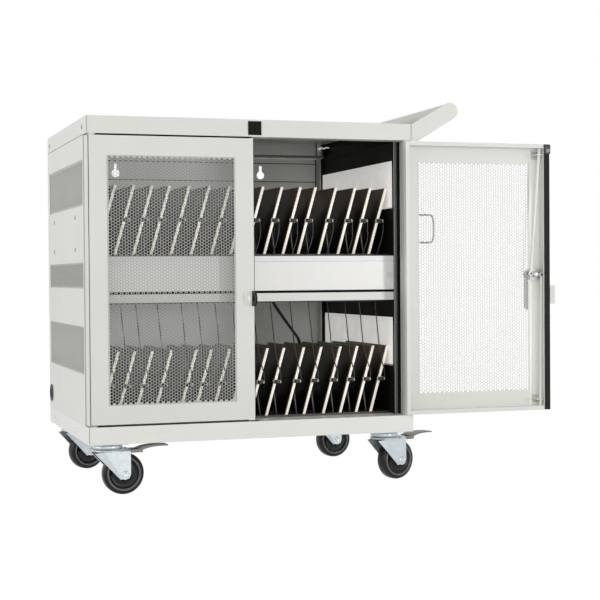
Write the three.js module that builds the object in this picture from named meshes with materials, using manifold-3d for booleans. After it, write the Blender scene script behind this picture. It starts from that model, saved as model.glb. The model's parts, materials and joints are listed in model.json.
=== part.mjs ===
// A laptop charging cart: a sheet-steel cabinet on four swivel casters, with two perforated doors,
// two tiers of slanted device slots, a closed power compartment between them and a push handle.
// X runs to the right, Y to the back and Z up from the floor, under the middle of the cabinet.
import * as THREE from "three";
import { mergeVertices } from "three/addons/utils/BufferGeometryUtils.js";
import Module from "manifold-3d";

const wasm = await Module();
wasm.setup();

// Driving dimensions in millimetres and degrees.
// Cabinet
const cabinetWidth = 810;
const cabinetDepth = 600;
const baseHeight = 41;
const wallHeight = 680;
const coverHeight = 41;
const sheet = 1.5;
const seam = 0.3;
const wallDepth = 32;
const linerSheet = 1;
const backPostDepth = 30;
const backPostInset = 10;
// Side windows, measured up from the base tray, and the perforated sheet behind them
const lowWindowBottom = 120;
const lowWindowHeight = 112;
const midWindowBottom = 321;
const midWindowHeight = 61;
const topWindowBottom = 515;
const topWindowHeight = 108;
const windowFrontMargin = 8;
const windowBackMargin = 30;
const meshSheet = 1;
const meshLap = 5;
const meshOpenShare = 0.77;
const sideMeshColumns = 10;
const sideMeshRows = [2, 1, 2];
// Keyholes in the back panel
const keyholeRadius = 11;
const keyholeSlot = 8;
const keyholeHeight = 37;
const keyholeDrop = 48;
const keyholeSpacing = 413;
const keyholeOffset = -14;
// Cable grommet in the left side
const grommetRadius = 23;
const grommetBore = 14;
const grommetHole = 18;
const grommetRise = 40;
const grommetInset = 38;
const grommetFlange = 3;
// Doors
const doorDepth = 38;
const doorSheet = 1.2;
const doorLip = 10;
const doorTopGap = 4;
const doorBottomGap = 3;
const doorSideGap = 2;
const doorMiddleGap = 3;
const doorBackGap = 4;
const doorWindowMargin = 46;
const doorMeshColumns = 6;
const doorMeshRows = 12;
const closingStep = 15;
const pivotInset = 12;
const pivotSetback = 7;
const pinRadius = 4;
const pinCollar = 8;
const pinReach = 10;
const pinClearance = 0.4;
const rightDoorAngle = 180;
const sealWidth = 15;
const sealOverhang = 7;
const sealThickness = 2;
// Padlock eye on the left door and the slotted hasp on the right door
const haspZ = 460;
const eyeHeight = 36;
const eyeReach = 36;
const eyePlate = 4;
const eyeInset = 4;
const eyeFoot = 16;
const haspPlate = 3;
const haspHold = 14;
const haspOverhang = 30;
const haspWall = 3.5;
const haspClearance = 2;
// Two-rod latch on the right door
const latchZ = 513;
const latchFromEdge = 39;
const rodFromEdge = 28;
const spindleRadius = 5;
const leverLength = 92;
const leverWidth = 18;
const leverThickness = 8;
const leverStandoff = 18;
const housingWidth = 22;
const housingHeight = 28;
const housingDepth = 12;
const camArm = 15;
const camStart = 5;
const camThickness = 3;
const camWidth = 12;
const camSetback = 16;
const camPinRadius = 3;
const rodRadius = 4;
const rodSetback = 25;
const rodEyeRadius = 6.5;
const rodEyeThickness = 6;
const rodSway = 6;
const rodClearance = 1.5;
const guideDrop = 26;
const guideWall = 3;
// Power compartment between the tiers
const shelfZ = 562;
const shelfLip = 13;
const compartmentFront = 71;
const compartmentGap = 6;
const compartmentRail = 20;
const lockFromSide = 12;
const lockRadius = 8;
const lockProud = 2.5;
const lockCatch = 5;
const hubWidth = 300;
const hubDepth = 110;
const hubHeight = 44;
const hubPorts = 8;
const portWidth = 18;
const portHeight = 8;
const portRise = 15;
const portDepth = 6;
// Slot racks
const slotsPerTier = 16;
const dividerHeight = 165;
const dividerLean = 47;
const dividerThickness = 6.5;
const rackDepth = 300;
const rackSetback = 75;
const rackBase = 5;
const rackEndGap = 2.5;
// How far the plates of the right-hand racks are knocked sideways
const upperShift = [-3, 0, 2, -4, 4, 9, 4, 0];
const lowerShift = [5, 2, 8, 8, 13, 12, 9, 2];
// Charging leads with their end connectors
const leadRadius = 1.5;
const connectorWidth = 20;
const connectorHeight = 11;
const connectorDepth = 16;
const connectorShift = 2;
const leadBarDepth = 10;
const leadBarHeight = 3;
// Push handle
const handleReach = 104;
const handleRise = 35;
const handleEndRadius = 20.5;
const handleFoot = 18;
const handlePlate = 3;
const handleTab = 32;
const handleTabMargin = 6;
const handleBarRadius = 19;
const handleBarWall = 2;
// Badge plate on the cover
const badgeSize = 33;
const badgeThickness = 1.5;
// Cord hanger on the right side
const hangerReach = 84;
const hangerHeight = 74;
const hangerWire = 2.5;
const hangerBend = 9;
const hangerZ = 630;
const hangerSetback = 60;
const hangerPlate = 3;
// Casters
const casterHeight = 125;
const casterInsetX = 55;
const casterInsetY = 60;
const casterPlateLength = 100;
const casterPlateWidth = 85;
const casterPlateThickness = 4;
const bearingRadius = 38;
const wheelDiameter = 100;
const wheelWidth = 32;
const wheelSides = 28;
const wheelHubWidth = 36;
const treadDepth = 14;
const treadRound = 5;
const webSetback = 6;
const rimStep = 1;
const rimSlope = 4;
const hubRadius = 14;
const axleRadius = 5;
const axleHead = 9;
const casterTrail = 36;
const forkSheet = 3;
const forkGap = 1.5;
const forkEnd = 13;
const crownThickness = 4;
const crownRadius = 40;
const crownTail = 34;
const crownLift = 4;
const pedalLength = 70;
const pedalWidth = 34;
const pedalThickness = 3;
const pedalPin = 3;
const pedalGap = 1;
const pedalEar = 6;
const casterTurn = { front_left: 4, front_right: 18, rear_left: 18, rear_right: 10 };

// Places that follow from the driving dimensions
const right = cabinetWidth / 2;
const front = -cabinetDepth / 2;
const back = cabinetDepth / 2;
const baseTop = casterHeight + baseHeight;
const coverBottom = baseTop + wallHeight;
const coverTop = coverBottom + coverHeight;
const wallFront = front + doorDepth + doorBackGap;
const wallBottom = baseTop + seam;
const wallTop = coverBottom - seam;
const linerOuter = right - wallDepth - seam;
const linerInner = linerOuter - linerSheet;
const doorHinge = right - doorSideGap;
const doorBoxEdge = doorMiddleGap + closingStep;
const doorBottom = baseTop + doorBottomGap;
const doorTop = coverBottom - doorTopGap;
const pivotX = doorHinge - pivotInset;
const pivotY = front + pivotSetback;
const rodX = doorMiddleGap + rodFromEdge;
const rodY = front + rodSetback;
const latchX = doorMiddleGap + latchFromEdge;
const rackFront = front + rackSetback;

// Finishes, as seen on the real cart
const finishes = {
  paint: { color: 0xdedfd9, roughness: 0.45, metalness: 0 },
  blackPaint: { color: 0x161616, roughness: 0.6, metalness: 0 },
  greyPaint: { color: 0x8a8a88, roughness: 0.5, metalness: 0 },
  zinc: { color: 0xc9ced0, roughness: 0.35, metalness: 0.9 },
  blackPlastic: { color: 0x26251f, roughness: 0.5, metalness: 0 },
  tread: { color: 0x2b2c2e, roughness: 0.4, metalness: 0 },
  divider: { color: 0x231e1a, roughness: 0.55, metalness: 0 },
};

// A closed three.js geometry as a solid that can be joined and cut
function solid(geometry) {
  const bare = geometry.index ? geometry.toNonIndexed() : geometry.clone();
  bare.deleteAttribute("normal");
  bare.deleteAttribute("uv");
  const merged = mergeVertices(bare, 1e-4);
  const mesh = new wasm.Mesh({
    numProp: 3,
    vertProperties: merged.attributes.position.array,
    triVerts: new Uint32Array(merged.index.array),
  });
  return new wasm.Manifold(mesh);
}

function geometryOf(body) {
  const mesh = body.getMesh();
  const geometry = new THREE.BufferGeometry();
  geometry.setAttribute("position", new THREE.BufferAttribute(mesh.vertProperties, 3));
  geometry.setIndex(new THREE.BufferAttribute(mesh.triVerts, 1));
  const flat = geometry.toNonIndexed();
  flat.computeVertexNormals();
  return flat;
}

function join(bodies) {
  return bodies.reduce((whole, body) => whole.add(body));
}

function cut(body, tools) {
  return tools.reduce((rest, tool) => rest.subtract(tool), body);
}

// A block between two values on each axis, given in either order
function block([x0, x1], [y0, y1], [z0, z1]) {
  const geometry = new THREE.BoxGeometry(Math.abs(x1 - x0), Math.abs(y1 - y0), Math.abs(z1 - z0));
  return solid(geometry.translate((x0 + x1) / 2, (y0 + y1) / 2, (z0 + z1) / 2));
}

// A round bar along one axis, between two values on that axis
function bar(axis, [a, b], [p, q], radius, sides = 16) {
  const geometry = new THREE.CylinderGeometry(radius, radius, Math.abs(b - a), sides);
  const middle = (a + b) / 2;
  if (axis === "x") return solid(geometry.rotateZ(-Math.PI / 2).translate(middle, p, q));
  if (axis === "y") return solid(geometry.translate(p, middle, q));
  return solid(geometry.rotateX(Math.PI / 2).translate(p, q, middle));
}

// A flat outline of x and z, given depth along Y
function plateY(shape, [y0, y1], curveSegments = 8) {
  const options = { depth: y1 - y0, bevelEnabled: false, curveSegments };
  return solid(new THREE.ExtrudeGeometry(shape, options).rotateX(Math.PI / 2).translate(0, y1, 0));
}

// A flat outline of y and z, given thickness along X
function plateX(shape, [x0, x1], curveSegments = 8) {
  const options = { depth: x1 - x0, bevelEnabled: false, curveSegments };
  const turn = new THREE.Matrix4().set(0, 0, 1, x0, 1, 0, 0, 0, 0, 1, 0, 0, 0, 0, 0, 1);
  return solid(new THREE.ExtrudeGeometry(shape, options).applyMatrix4(turn));
}

function outline(points) {
  return new THREE.Shape(points.map(([a, b]) => new THREE.Vector2(a, b)));
}

// A wire or lead along a smooth curve through its points
function wire(points, radius, sides, steps) {
  const angles = Array.from({ length: sides }, (_, i) => (i * 2 * Math.PI) / sides);
  const section = outline(angles.map((a) => [radius * Math.cos(a), radius * Math.sin(a)]));
  const route = new THREE.CatmullRomCurve3(points.map((p) => new THREE.Vector3(...p)));
  return solid(new THREE.ExtrudeGeometry(section, { extrudePath: route, steps }));
}

// A ring or wheel turned about the X axis from a closed profile of radius and x
function turned(profile, segments) {
  const points = profile.map(([radius, along]) => new THREE.Vector2(radius, along));
  points.push(points[0].clone());
  return solid(new THREE.LatheGeometry(points, segments).rotateZ(-Math.PI / 2));
}

// Openings of a coarse grid that stands for the perforation, as ranges between two values
function gridRanges([a, b], count) {
  const step = (b - a) / count;
  const half = (step * meshOpenShare) / 2;
  return Array.from({ length: count }, (_, i) => a + (i + 0.5) * step).map((c) => [c - half, c + half]);
}

const cart = new THREE.Group();

function piece(name, body, finish, parent = cart) {
  const mesh = new THREE.Mesh(geometryOf(body), new THREE.MeshStandardMaterial(finishes[finish]));
  mesh.name = name;
  parent.add(mesh);
  return mesh;
}

// Slot for a latch rod, with room for its sideways sway
const rodSlotX = rodRadius + rodSway;
const rodSlotY = rodRadius + rodClearance;

function rodSlot(span) {
  return block([rodX - rodSlotX, rodX + rodSlotX], [rodY - rodSlotY, rodY + rodSlotY], span);
}

// Base tray and top cover: folded steel boxes with sockets for the door pins and the latch rods
function doorSockets(z) {
  const holes = [-1, 1].map((side) =>
    bar("z", [z - sheet, z + 2 * sheet], [side * pivotX, pivotY], pinRadius + pinClearance),
  );
  return [...holes, rodSlot([z - sheet, z + 2 * sheet])];
}

function foldedBox([z0, z1], socketZ, mouths) {
  const outer = block([-right, right], [front, back], [z0, z1]);
  const inner = block(
    [-right + sheet, right - sheet],
    [front + sheet, back - sheet],
    [z0 + sheet, z1 - sheet],
  );
  return cut(outer, [inner, ...doorSockets(socketZ), ...mouths]);
}

piece("base_tray", foldedBox([casterHeight, baseTop], baseTop - sheet, []), "paint");

// The cover is open below, between the walls and behind its front flange
const coverMouth = block(
  [-linerInner, linerInner],
  [wallFront, back - backPostDepth],
  [coverBottom - sheet, coverBottom + 2 * sheet],
);
piece("top_cover", foldedBox([coverBottom, coverTop], coverBottom, [coverMouth]), "paint");

// Side walls: a folded outer panel with three windows, perforated sheet and a black inner liner
const windowY = [wallFront + windowFrontMargin, back - windowBackMargin];
const windowZ = [
  [lowWindowBottom, lowWindowHeight],
  [midWindowBottom, midWindowHeight],
  [topWindowBottom, topWindowHeight],
].map(([bottom, height]) => [baseTop + bottom, baseTop + bottom + height]);
const grommetY = back - grommetInset;
const grommetZ = baseTop + grommetRise;

function windowCuts(x) {
  return windowZ.map((z) => block([x - wallDepth, x + wallDepth], windowY, z));
}

for (const [name, side] of [["left", -1], ["right", 1]]) {
  const inside = side * (right - wallDepth);
  const shell = block([side * right, inside], [wallFront, back], [wallBottom, wallTop]);
  const hollow = block(
    [side * (right - sheet), inside - side * sheet],
    [wallFront + sheet, back - sheet],
    [wallBottom + sheet, wallTop - sheet],
  );
  const holes = windowZ.map((z) => block([side * (right + sheet), side * (right - 2 * sheet)], windowY, z));
  if (side < 0) {
    const skin = [-right - sheet, -right + 2 * sheet];
    holes.push(bar("x", skin, [grommetY, grommetZ], grommetHole + seam, 24));
  }
  piece(name + "_side_panel", cut(shell, [hollow, ...holes]), "paint");

  const meshOuter = side * (right - sheet - seam);
  const sheetBody = block(
    [meshOuter, meshOuter - side * meshSheet],
    [windowY[0] - meshLap, windowY[1] + meshLap],
    [windowZ[0][0] - meshLap, windowZ[2][1] + meshLap],
  );
  const sheetHoles = windowZ.flatMap((z, i) =>
    gridRanges(z, sideMeshRows[i]).flatMap((rowZ) =>
      gridRanges(windowY, sideMeshColumns).map((columnY) =>
        block([meshOuter + side * meshSheet, meshOuter - 2 * side * meshSheet], columnY, rowZ),
      ),
    ),
  );
  piece(name + "_side_mesh", cut(sheetBody, sheetHoles), "paint");

  const liner = block(
    [side * linerOuter, side * linerInner],
    [wallFront, back - sheet - seam],
    [wallBottom, wallTop],
  );
  piece(name + "_side_liner", cut(liner, windowCuts(side * linerOuter)), "blackPaint");
}

// Back panel with forward-turned posts at both ends and two keyholes near the top
const postX = linerInner - backPostInset;
const backWeb = block([-linerOuter, linerOuter], [back - sheet, back], [wallBottom, wallTop]);
const backPosts = [-1, 1].map((side) =>
  block(
    [side * postX, side * (postX + sheet)],
    [back - backPostDepth, back - sheet / 2],
    [wallBottom, wallTop],
  ),
);
const keyholes = [-1, 1].flatMap((side) => {
  const x = keyholeOffset + (side * keyholeSpacing) / 2;
  const z = wallTop - keyholeDrop;
  const through = [back - 2 * sheet, back + sheet];
  const slotTop = z - keyholeRadius + keyholeHeight;
  return [
    bar("y", through, [x, z], keyholeRadius),
    block([x - keyholeSlot / 2, x + keyholeSlot / 2], through, [z, slotTop]),
  ];
});
piece("back_panel", cut(join([backWeb, ...backPosts]), keyholes), "greyPaint");

// Grommet for the mains lead, clipped in the left side panel
const grommet = turned(
  [
    [grommetBore, -grommetFlange - seam],
    [grommetRadius - 2, -grommetFlange - seam],
    [grommetRadius, -seam - 1],
    [grommetRadius, -seam],
    [grommetHole, -seam],
    [grommetHole, sheet + seam],
    [grommetHole + 2, sheet + seam],
    [grommetHole, sheet + 3 * grommetFlange],
    [grommetBore, sheet + 3 * grommetFlange],
  ],
  24,
);
piece("cable_grommet", grommet, "blackPlastic").position.set(-right, grommetY, grommetZ);

// Doors: folded pans with a return lip and a perforated middle, hung on pins at the top and the bottom
const spindleHole = spindleRadius + 0.5;
const doorFrame = { left: new THREE.Group(), right: new THREE.Group() };
for (const [name, side] of [["left", -1], ["right", 1]]) {
  doorFrame[name].position.set(side * pivotX, pivotY, 0);
  cart.add(doorFrame[name]);
}
doorFrame.right.rotation.z = THREE.MathUtils.degToRad(rightDoorAngle);

// Adds a piece that is described in the closed place of its door
function onDoor(name, nodeName, body, finish) {
  const mesh = piece(nodeName, body, finish, doorFrame[name]);
  mesh.position.set(-doorFrame[name].position.x, -pivotY, 0);
  return mesh;
}

for (const [name, side] of [["left", -1], ["right", 1]]) {
  const boxEdge = name === "right" ? doorBoxEdge : doorMiddleGap;
  const inset = (amount, edge) => [side * (doorHinge - amount), side * (edge + amount)];
  const box = block(inset(0, boxEdge), [front, front + doorDepth], [doorBottom, doorTop]);
  const face = block(inset(0, doorMiddleGap), [front, front + doorSheet], [doorBottom, doorTop]);
  const hollow = block(
    inset(doorSheet, boxEdge),
    [front + doorSheet, front + doorDepth - doorSheet],
    [doorBottom + doorSheet, doorTop - doorSheet],
  );
  const mouth = block(
    inset(doorLip, boxEdge),
    [front + doorDepth / 2, front + doorDepth + doorSheet],
    [doorBottom + doorLip, doorTop - doorLip],
  );
  const window = block(
    inset(doorWindowMargin, doorMiddleGap),
    [front - doorSheet, front + 2 * doorSheet],
    [doorBottom + doorWindowMargin, doorTop - doorWindowMargin],
  );
  const pivots = [doorBottom, doorTop].map((z) =>
    bar("z", [z - 2 * doorSheet, z + 2 * doorSheet], [side * pivotX, pivotY], pinRadius + pinClearance),
  );
  const cuts = [hollow, mouth, window, ...pivots];
  if (name === "right") {
    cuts.push(...[doorBottom, doorTop].map((z) => rodSlot([z - 2 * doorSheet, z + 2 * doorSheet])));
    cuts.push(bar("y", [front - doorSheet, front + 2 * doorSheet], [latchX, latchZ], spindleHole));
  }
  onDoor(name, name + "_door", cut(join([box, face]), cuts), "paint");

  const meshMargin = doorWindowMargin + seam;
  const meshX = inset(meshMargin, doorMiddleGap);
  const meshZ = [doorBottom + meshMargin, doorTop - meshMargin];
  const meshBody = block(meshX, [front, front + meshSheet], meshZ);
  const meshHoles = gridRanges(meshX, doorMeshColumns).flatMap((columnX) =>
    gridRanges(meshZ, doorMeshRows).map((rowZ) => block(columnX, [front - meshSheet, front + 2 * meshSheet], rowZ)),
  );
  onDoor(name, name + "_door_mesh", cut(meshBody, meshHoles), "paint");

  // Pivot pins: fixed in the cover and the base, with a collar in the gap beside the door
  const ends = { upper: [doorTop, coverBottom, 1], lower: [doorBottom, baseTop, -1] };
  for (const [end, [doorEdge, boxFace, up]] of Object.entries(ends)) {
    const pin = bar("z", [doorEdge - up * pinReach, boxFace + up * pinReach], [0, 0], pinRadius);
    const collar = bar("z", [doorEdge + up * seam, boxFace - up * seam], [0, 0], pinCollar);
    piece(name + "_hinge_pin_" + end, join([pin, collar]), "zinc").position.set(side * pivotX, pivotY, 0);
  }
}

// Rubber strip that laps over the closing edge of the right door
const sealY = front + doorDepth + seam;
const sealBody = block(
  [doorBoxEdge - sealOverhang, doorBoxEdge - sealOverhang + sealWidth],
  [sealY, sealY + sealThickness],
  [doorBottom, doorTop],
);
onDoor("right", "door_seal", sealBody, "blackPlastic");

// Padlock eye standing out from the left door, and the slotted hasp that closes over it
const eyeX = -doorMiddleGap - eyeInset - eyePlate;
const eyeBack = front - seam;
const eyeHalf = eyeHeight / 2;
const eyeShape = new THREE.Shape();
eyeShape.moveTo(eyeBack, haspZ - eyeHalf);
eyeShape.lineTo(eyeBack, haspZ + eyeHalf);
eyeShape.lineTo(eyeBack - eyeReach + eyeHalf, haspZ + eyeHalf);
eyeShape.absarc(eyeBack - eyeReach + eyeHalf, haspZ, eyeHalf, Math.PI / 2, (3 * Math.PI) / 2);
const eyeHole = new THREE.Path();
eyeHole.absarc(eyeBack - eyeReach + eyeHalf, haspZ, eyeHalf / 2, 0, 2 * Math.PI, true);
eyeShape.holes.push(eyeHole);
const eyeFootBody = block(
  [eyeX - eyeFoot, eyeX + eyePlate],
  [eyeBack - eyePlate, eyeBack],
  [haspZ - eyeHalf, haspZ + eyeHalf],
);
const eyeBody = join([plateX(eyeShape, [eyeX, eyeX + eyePlate]), eyeFootBody]);
onDoor("left", "padlock_eye", eyeBody, "blackPlastic");

const haspBack = front - seam - eyePlate - seam;
const slotHalf = eyeHalf + haspClearance;
const haspHalf = slotHalf + haspWall;
const haspLeaf = block(
  [doorMiddleGap + haspHold, doorMiddleGap - haspOverhang],
  [haspBack - haspPlate, haspBack],
  [haspZ - haspHalf, haspZ + haspHalf],
);
const haspSlot = block(
  [eyeX - haspClearance, eyeX + eyePlate + haspClearance],
  [haspBack - 2 * haspPlate, haspBack + haspPlate],
  [haspZ - slotHalf, haspZ + slotHalf],
);
const haspBlock = block(
  [doorMiddleGap + seam, doorMiddleGap + haspHold],
  [haspBack - haspPlate / 2, front - seam],
  [haspZ - haspHalf, haspZ + haspHalf],
);
onDoor("right", "door_hasp", cut(join([haspLeaf, haspBlock]), [haspSlot]), "paint");

// Latch: an outside lever, a housing in the door, a cam inside it and two rods on the cam's pins
const leverBack = front - leverStandoff;
const camFront = front + camSetback;
const camBack = camFront + camThickness;
const leverArm = new THREE.Shape();
leverArm.absarc(latchX, latchZ, leverWidth / 2, 0, Math.PI);
leverArm.absarc(latchX, latchZ - leverLength + leverWidth / 2, leverWidth / 2, Math.PI, 2 * Math.PI);
const leverBody = join([
  plateY(leverArm, [leverBack - leverThickness, leverBack]),
  bar("y", [leverBack - leverThickness / 2, front - seam], [latchX, latchZ], leverWidth / 2 + 3),
  bar("y", [front - 2 * seam, camFront - seam], [latchX, latchZ], spindleRadius),
]);
onDoor("right", "latch_lever", leverBody, "zinc");

const housingBlock = block(
  [latchX - housingWidth / 2, latchX + housingWidth / 2],
  [front + doorSheet + seam, front + doorSheet + seam + housingDepth],
  [latchZ - housingHeight / 2, latchZ + housingHeight / 2],
);
const housingY = [front, camFront];
const housingBore = bar("y", housingY, [latchX, latchZ], spindleHole);
onDoor("right", "latch_housing", cut(housingBlock, [housingBore]), "zinc");

const camAngle = THREE.MathUtils.degToRad(camStart);
const camPins = [1, -1].map((way) => ({
  way,
  x: latchX + way * camArm * Math.cos(camAngle),
  z: latchZ + way * camArm * Math.sin(camAngle),
}));
const camShape = new THREE.Shape();
const camQuarter = Math.PI / 2;
camShape.absarc(camPins[0].x, camPins[0].z, camWidth / 2, camAngle - camQuarter, camAngle + camQuarter);
camShape.absarc(camPins[1].x, camPins[1].z, camWidth / 2, camAngle + camQuarter, camAngle + 3 * camQuarter);
const pinEnd = rodY + rodEyeThickness / 2 + 1;
const camBody = join([
  plateY(camShape, [camFront, camBack]),
  bar("y", [camBack - 1, rodY - 1], [latchX, latchZ], spindleRadius, 6),
  ...camPins.map(({ x, z }) => bar("y", [camBack - 1, pinEnd], [x, z], camPinRadius, 12)),
]);
onDoor("right", "latch_cam", camBody, "zinc");

// Each rod runs from its cam pin to a slot in the end of the door, inside the door's depth
for (const { way, x, z } of camPins) {
  const tipZ = way > 0 ? doorTop - doorSheet / 2 : doorBottom + doorSheet / 2;
  const from = new THREE.Vector3(x, rodY, z);
  const to = new THREE.Vector3(rodX, rodY, tipZ);
  const along = to.clone().sub(from);
  const shaft = new THREE.CylinderGeometry(rodRadius, rodRadius, along.length(), 12);
  const upright = new THREE.Vector3(0, 1, 0);
  const turn = new THREE.Quaternion().setFromUnitVectors(upright, along.normalize());
  const middle = from.clone().add(to).multiplyScalar(0.5);
  shaft.applyQuaternion(turn).translate(middle.x, middle.y, middle.z);
  const eyeSpan = [rodY - rodEyeThickness / 2, rodY + rodEyeThickness / 2];
  const eye = bar("y", eyeSpan, [x, z], rodEyeRadius);
  const holeSpan = [rodY - 2 * rodRadius, rodY + 2 * rodRadius];
  const hole = bar("y", holeSpan, [x, z], camPinRadius + pinClearance, 12);
  const end = way > 0 ? "upper" : "lower";
  onDoor("right", "latch_rod_" + end, cut(join([solid(shaft), eye]), [hole]), "zinc");

  const guideZ = way > 0 ? doorTop - guideDrop : doorBottom + guideDrop;
  const guideFoot = front + doorSheet + seam;
  const guideX = [doorBoxEdge + doorSheet + seam, rodX + rodSlotX + guideWall];
  const guideEar = block(
    guideX,
    [guideFoot, rodY + rodSlotY + guideWall],
    [guideZ - guideWall / 2, guideZ + guideWall / 2],
  );
  const guideBase = block(
    guideX,
    [guideFoot, guideFoot + guideWall],
    [guideZ - rodSlotX, guideZ + rodSlotX],
  );
  const guideSlot = rodSlot([guideZ - guideWall, guideZ + guideWall]);
  const guideBody = cut(join([guideEar, guideBase]), [guideSlot]);
  onDoor("right", "rod_guide_" + end, guideBody, "zinc");
}

// Power compartment: the upper shelf is its lid, with a front cover, a railed floor and two hubs
const compartmentX = linerInner - seam;
const compartmentBack = back - backPostDepth - seam;
const lipZ = shelfZ - shelfLip;
const coverZ = lipZ - compartmentFront;
const railTop = coverZ - compartmentGap;
const floorZ = railTop - compartmentRail;
const across = [-compartmentX, compartmentX];
const frontSheet = [wallFront, wallFront + sheet];
const shelfBody = join([
  block(across, [wallFront, compartmentBack], [shelfZ - sheet, shelfZ]),
  block(across, frontSheet, [lipZ, shelfZ - sheet / 2]),
  block(across, [compartmentBack - sheet, compartmentBack], [lipZ, shelfZ - sheet / 2]),
]);
piece("upper_shelf", shelfBody, "paint");

const lockX = compartmentX - lockFromSide;
const lockZ = (lipZ + coverZ) / 2;
const coverSheet = block(across, frontSheet, [coverZ, lipZ - seam]);
const coverTabs = [-1, 1].map((side) =>
  block(
    [side * compartmentX, side * (compartmentX - sheet)],
    [wallFront + sheet / 2, wallFront + 4 * lockRadius],
    [coverZ, lipZ - seam],
  ),
);
const lockHole = bar("y", [front, wallFront + 2 * sheet], [lockX, lockZ], lockRadius / 2 + pinClearance);
piece("compartment_cover", cut(join([coverSheet, ...coverTabs]), [lockHole]), "paint");

const lockFace = bar("y", [wallFront - seam - lockProud, wallFront - seam], [lockX, lockZ], lockRadius, 20);
const lockShaft = bar("y", [wallFront - 2 * seam, wallFront + 4 * sheet], [lockX, lockZ], lockRadius / 2);
const lockCam = block(
  [lockX - lockRadius / 2, lockX + lockRadius / 2],
  [wallFront + 2 * sheet, wallFront + 3 * sheet],
  [lockZ - lockRadius / 2, lipZ + lockCatch],
);
const lockSlot = block(
  [lockX - lockRadius * 0.7, lockX + lockRadius * 0.7],
  [wallFront - seam - lockProud - 1, wallFront - seam - lockProud + 1],
  [lockZ - 0.7, lockZ + 0.7],
);
piece("cover_lock", cut(join([lockFace, lockShaft, lockCam]), [lockSlot]), "zinc");

const floorBody = join([
  block(across, [wallFront, compartmentBack], [floorZ, floorZ + sheet]),
  block(across, frontSheet, [floorZ + sheet / 2, railTop]),
]);
piece("compartment_floor", floorBody, "paint");

for (const [name, side] of [["left", -1], ["right", 1]]) {
  const centre = (side * compartmentX) / 2;
  const hubZ = floorZ + sheet + seam;
  const hub = block(
    [centre - hubWidth / 2, centre + hubWidth / 2],
    [-hubDepth / 2, hubDepth / 2],
    [hubZ, hubZ + hubHeight],
  );
  const portPitch = hubWidth / hubPorts;
  const portY = [-hubDepth / 2 - portDepth, -hubDepth / 2 + portDepth];
  const ports = Array.from({ length: hubPorts }, (_, i) => {
    const x = centre + (i - (hubPorts - 1) / 2) * portPitch;
    const portX = [x - portWidth / 2, x + portWidth / 2];
    return block(portX, portY, [hubZ + portRise, hubZ + portRise + portHeight]);
  });
  piece("charging_hub_" + name, cut(hub, ports), "blackPlastic");
}

// Slot racks: slanted dividers on a common base, two racks to a tier
const tiers = { upper: shelfZ + seam, lower: baseTop + seam };
const dividerHalf = ((dividerThickness / 2) * Math.hypot(dividerHeight, dividerLean)) / dividerHeight;
const rackEdge = linerInner - seam;
const dividerSpan = 2 * (rackEdge - rackEndGap) - dividerLean - 2 * dividerHalf;
const slotPitch = dividerSpan / (slotsPerTier - 1);
const slotX = (index) => (index - (slotsPerTier - 1) / 2) * slotPitch;
const rackSplit = slotX(slotsPerTier / 2) - slotPitch / 2 - dividerLean / 2;
const plateShift = { upper: upperShift, lower: lowerShift };

// Middle of a plate, with its sideways shift
function plateMiddle(tier, index) {
  return slotX(index) + (plateShift[tier][index - slotsPerTier / 2] ?? 0);
}

for (const [tier, rackZ] of Object.entries(tiers)) {
  const footZ = rackZ + rackBase;
  for (const [name, first, baseX] of [
    ["left", 0, [-rackEdge, rackSplit - seam / 2]],
    ["right", slotsPerTier / 2, [rackSplit + seam / 2, rackEdge]],
  ]) {
    const depth = [rackFront, rackFront + rackDepth];
    const bodies = [block(baseX, depth, [rackZ, footZ])];
    for (let i = first; i < first + slotsPerTier / 2; i += 1) {
      const low = plateMiddle(tier, i) - dividerLean / 2;
      const high = plateMiddle(tier, i) + dividerLean / 2;
      const root = (rackBase / 2) * (dividerLean / dividerHeight);
      const shape = outline([
        [low - root - dividerHalf, footZ - rackBase / 2],
        [low - root + dividerHalf, footZ - rackBase / 2],
        [high + dividerHalf, footZ + dividerHeight],
        [high - dividerHalf, footZ + dividerHeight],
      ]);
      bodies.push(plateY(shape, depth));
    }
    piece(tier + "_rack_" + name, join(bodies), "divider");
  }
}

// Charging leads: each runs from a bar on the compartment to a connector on a divider's front edge
const leadY = rackFront - seam - connectorDepth / 2;
const connectorY = [rackFront - seam - connectorDepth, rackFront - seam];
const leadSides = 6;
const upperBarZ = shelfZ + seam;
const lowerBarZ = floorZ - seam;
const leadBars = {
  upper: [upperBarZ, upperBarZ + leadBarHeight],
  lower: [lowerBarZ - leadBarHeight, lowerBarZ],
};

// Points from the connector's end to the bar, as steps to the right of the divider's middle
function leadRoute(tier, x, middleZ) {
  const startX = connectorWidth / 2 + connectorShift;
  const sway = Math.sin(1.7 * x);
  if (tier === "upper") {
    const drop = middleZ - upperBarZ;
    return [
      [x + startX - 3, leadY, middleZ],
      [x + startX + 3, leadY, middleZ - 3],
      [x + startX + 4 + 2 * sway, leadY, middleZ - 0.3 * drop],
      [x + startX - 1 + 3 * sway, leadY, middleZ - 0.65 * drop],
      [x + startX - 10 + 3 * sway, leadY, upperBarZ + leadBarHeight / 2],
    ];
  }
  const rise = lowerBarZ - middleZ;
  return [
    [x + startX - 3, leadY, middleZ],
    [x + startX + 3, leadY, middleZ + 4],
    [x + startX + 4, leadY, middleZ + 0.1 * rise],
    [x + startX + 1, leadY, middleZ + 0.28 * rise],
    [x + startX - 9 + 3 * sway, leadY, middleZ + 0.6 * rise],
    [x + startX - 12 + 4 * sway, leadY, middleZ + 0.82 * rise],
    [x + startX - 19 + 4 * sway, leadY, lowerBarZ - leadBarHeight / 2],
  ];
}

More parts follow.
